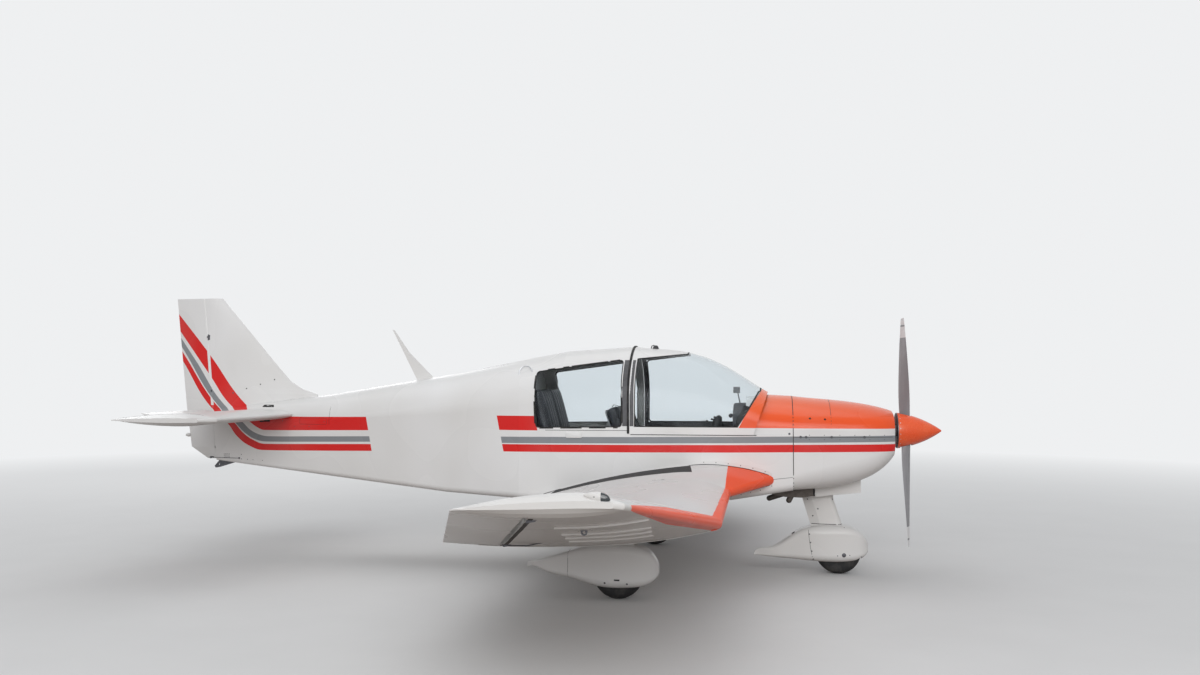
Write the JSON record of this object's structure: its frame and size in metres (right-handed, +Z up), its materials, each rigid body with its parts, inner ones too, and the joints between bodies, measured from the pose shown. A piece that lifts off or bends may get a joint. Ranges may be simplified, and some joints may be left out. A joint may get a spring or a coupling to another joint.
{
  "type": "light aircraft",
  "caption": "Low-wing light touring aeroplane with cranked wings, fixed spatted nosewheel gear, sliding canopy, all-moving tailplane and turning propeller.",
  "frame": {"origin": "on the ground under the middle of the overall length, on the centre plane", "axes": "+X forward to the nose, +Y to the left wing tip, +Z up"},
  "size_m": [6.993, 8.72, 2.4049],
  "materials": {
    "white_skin": "gloss white paint on fabric-covered plywood",
    "white_moulding": "gloss white glass-fibre moulding",
    "orange_moulding": "gloss orange-red glass-fibre moulding",
    "canopy_paint": "gloss paint on the canopy's frame",
    "window_glass": "clear canopy glazing",
    "dark_steel": "dark painted steel",
    "engine_block": "engine as one plain block",
    "propeller_metal": "satin grey propeller",
    "tyre": "worn black rubber",
    "rim": "painted light alloy",
    "seat_leather": "dark grey upholstery",
    "seat_frame": "grey painted frame",
    "panel": "matt black panel"
  },
  "bodies": {
    "airframe": {"fuselage": "white_skin", "fin": "white_skin", "blade_aerial": "white_moulding", "tail_skid": "dark_steel", "rear_window_left": "window_glass", "rear_window_right": "window_glass", "cowl_upper": "orange_moulding", "cowl_lower": "white_moulding", "wing_inner_left": "white_skin", "wing_inner_right": "white_skin", "wing_outer_left": "white_skin", "wing_outer_right": "white_skin", "wing_tip_left": "white_moulding", "wing_tip_right": "white_moulding", "wing_tie_down_left": "dark_steel", "wing_tie_down_right": "dark_steel", "main_leg_left": "dark_steel", "main_leg_right": "dark_steel", "main_leg_fairing_left": "white_moulding", "main_leg_fairing_right": "white_moulding", "main_spat_left": "white_moulding", "main_spat_right": "white_moulding", "nose_leg_bearing": "dark_steel", "engine": "engine_block", "chin_scoop": "white_moulding", "exhaust_pipes": "dark_steel", "seat_left": "seat_leather", "seat_right": "seat_leather", "seat_base_left": "seat_frame", "seat_base_right": "seat_frame", "rear_bench": "seat_leather", "instrument_panel": "panel", "control_sticks": "dark_steel"},
    "canopy": {"canopy_frame": "canopy_paint", "canopy_glass": "window_glass"},
    "propeller": {"propeller": "propeller_metal", "spinner": "orange_moulding"},
    "nose_leg": {"nose_leg": "dark_steel", "nose_leg_fairing": "white_moulding", "nose_spat": "white_moulding"},
    "nose_wheel": {"nose_tyre": "tyre", "nose_rim": "rim"},
    "main_wheel_left": {"main_tyre_left": "tyre", "main_rim_left": "rim"},
    "main_wheel_right": {"main_tyre_right": "tyre", "main_rim_right": "rim"},
    "rudder": {"rudder": "white_skin"},
    "tailplane": {"tailplane": "white_skin"},
    "trim_tab": {"trim_tab": "white_skin"},
    "flap_left": {"flap_left": "white_skin"},
    "flap_right": {"flap_right": "white_skin"},
    "aileron_left": {"aileron_left": "white_skin"},
    "aileron_right": {"aileron_right": "white_skin"}
  },
  "joints": [
    {"name": "propeller_spin", "type": "hinge", "parent": "airframe", "child": "propeller", "pos_m": [3.2035, 0, 1.213], "axis": [1, 0, 0], "continuous": true},
    {"name": "nose_steer", "type": "hinge", "parent": "airframe", "child": "nose_leg", "pos_m": [2.5465, 0, 0.4], "axis": [-0.3048, 0, 0.9524], "range_deg": [-20, 20]},
    {"name": "nose_wheel_spin", "type": "hinge", "parent": "nose_leg", "child": "nose_wheel", "pos_m": [2.6355, 0, 0.19], "axis": [0, 1, 0], "continuous": true},
    {"name": "main_wheel_left_spin", "type": "hinge", "parent": "airframe", "child": "main_wheel_left", "pos_m": [0.9335, 1.29, 0.19], "axis": [0, 1, 0], "continuous": true},
    {"name": "main_wheel_right_spin", "type": "hinge", "parent": "airframe", "child": "main_wheel_right", "pos_m": [0.9335, -1.29, 0.19], "axis": [0, 1, 0], "continuous": true},
    {"name": "canopy_slide", "type": "slide", "parent": "airframe", "child": "canopy", "axis": [1, 0, 0], "range_m": [0, 0.6]},
    {"name": "rudder_hinge", "type": "hinge", "parent": "airframe", "child": "rudder", "pos_m": [-3.0585, 0, 0.902], "axis": [-0.1032, 0, 0.9947], "range_deg": [-25, 25]},
    {"name": "tailplane_pivot", "type": "hinge", "parent": "airframe", "child": "tailplane", "pos_m": [-2.4515, 0, 1.318], "axis": [0, 1, 0], "range_deg": [-4, 14]},
    {"name": "trim_tab_hinge", "type": "hinge", "parent": "tailplane", "child": "trim_tab", "pos_m": [-2.9965, 0, 1.31729], "axis": [0, 1, 0], "range_deg": [-3, 9]},
    {"name": "flap_left_hinge", "type": "hinge", "parent": "airframe", "child": "flap_left", "pos_m": [0.2315, 0.64, 0.62244], "axis": [0, -1, 0], "range_deg": [0, 60]},
    {"name": "flap_right_hinge", "type": "hinge", "parent": "airframe", "child": "flap_right", "pos_m": [0.2315, -0.64, 0.62244], "axis": [0, -1, 0], "range_deg": [0, 60]},
    {"name": "aileron_left_hinge", "type": "hinge", "parent": "airframe", "child": "aileron_left", "pos_m": [0.39472, 2.76887, 0.67626], "axis": [0.3139, 0.9228, 0.2236], "range_deg": [-12, 12]},
    {"name": "aileron_right_hinge", "type": "hinge", "parent": "airframe", "child": "aileron_right", "pos_m": [0.39472, -2.76887, 0.67626], "axis": [-0.3139, 0.9228, -0.2236], "range_deg": [-12, 12]}
  ],
  "couplings": [
    {"joint": "flap_right_hinge", "follows": "flap_left_hinge", "ratio": 1},
    {"joint": "aileron_right_hinge", "follows": "aileron_left_hinge", "ratio": -1},
    {"joint": "trim_tab_hinge", "follows": "tailplane_pivot", "ratio": 0.6}
  ]
}
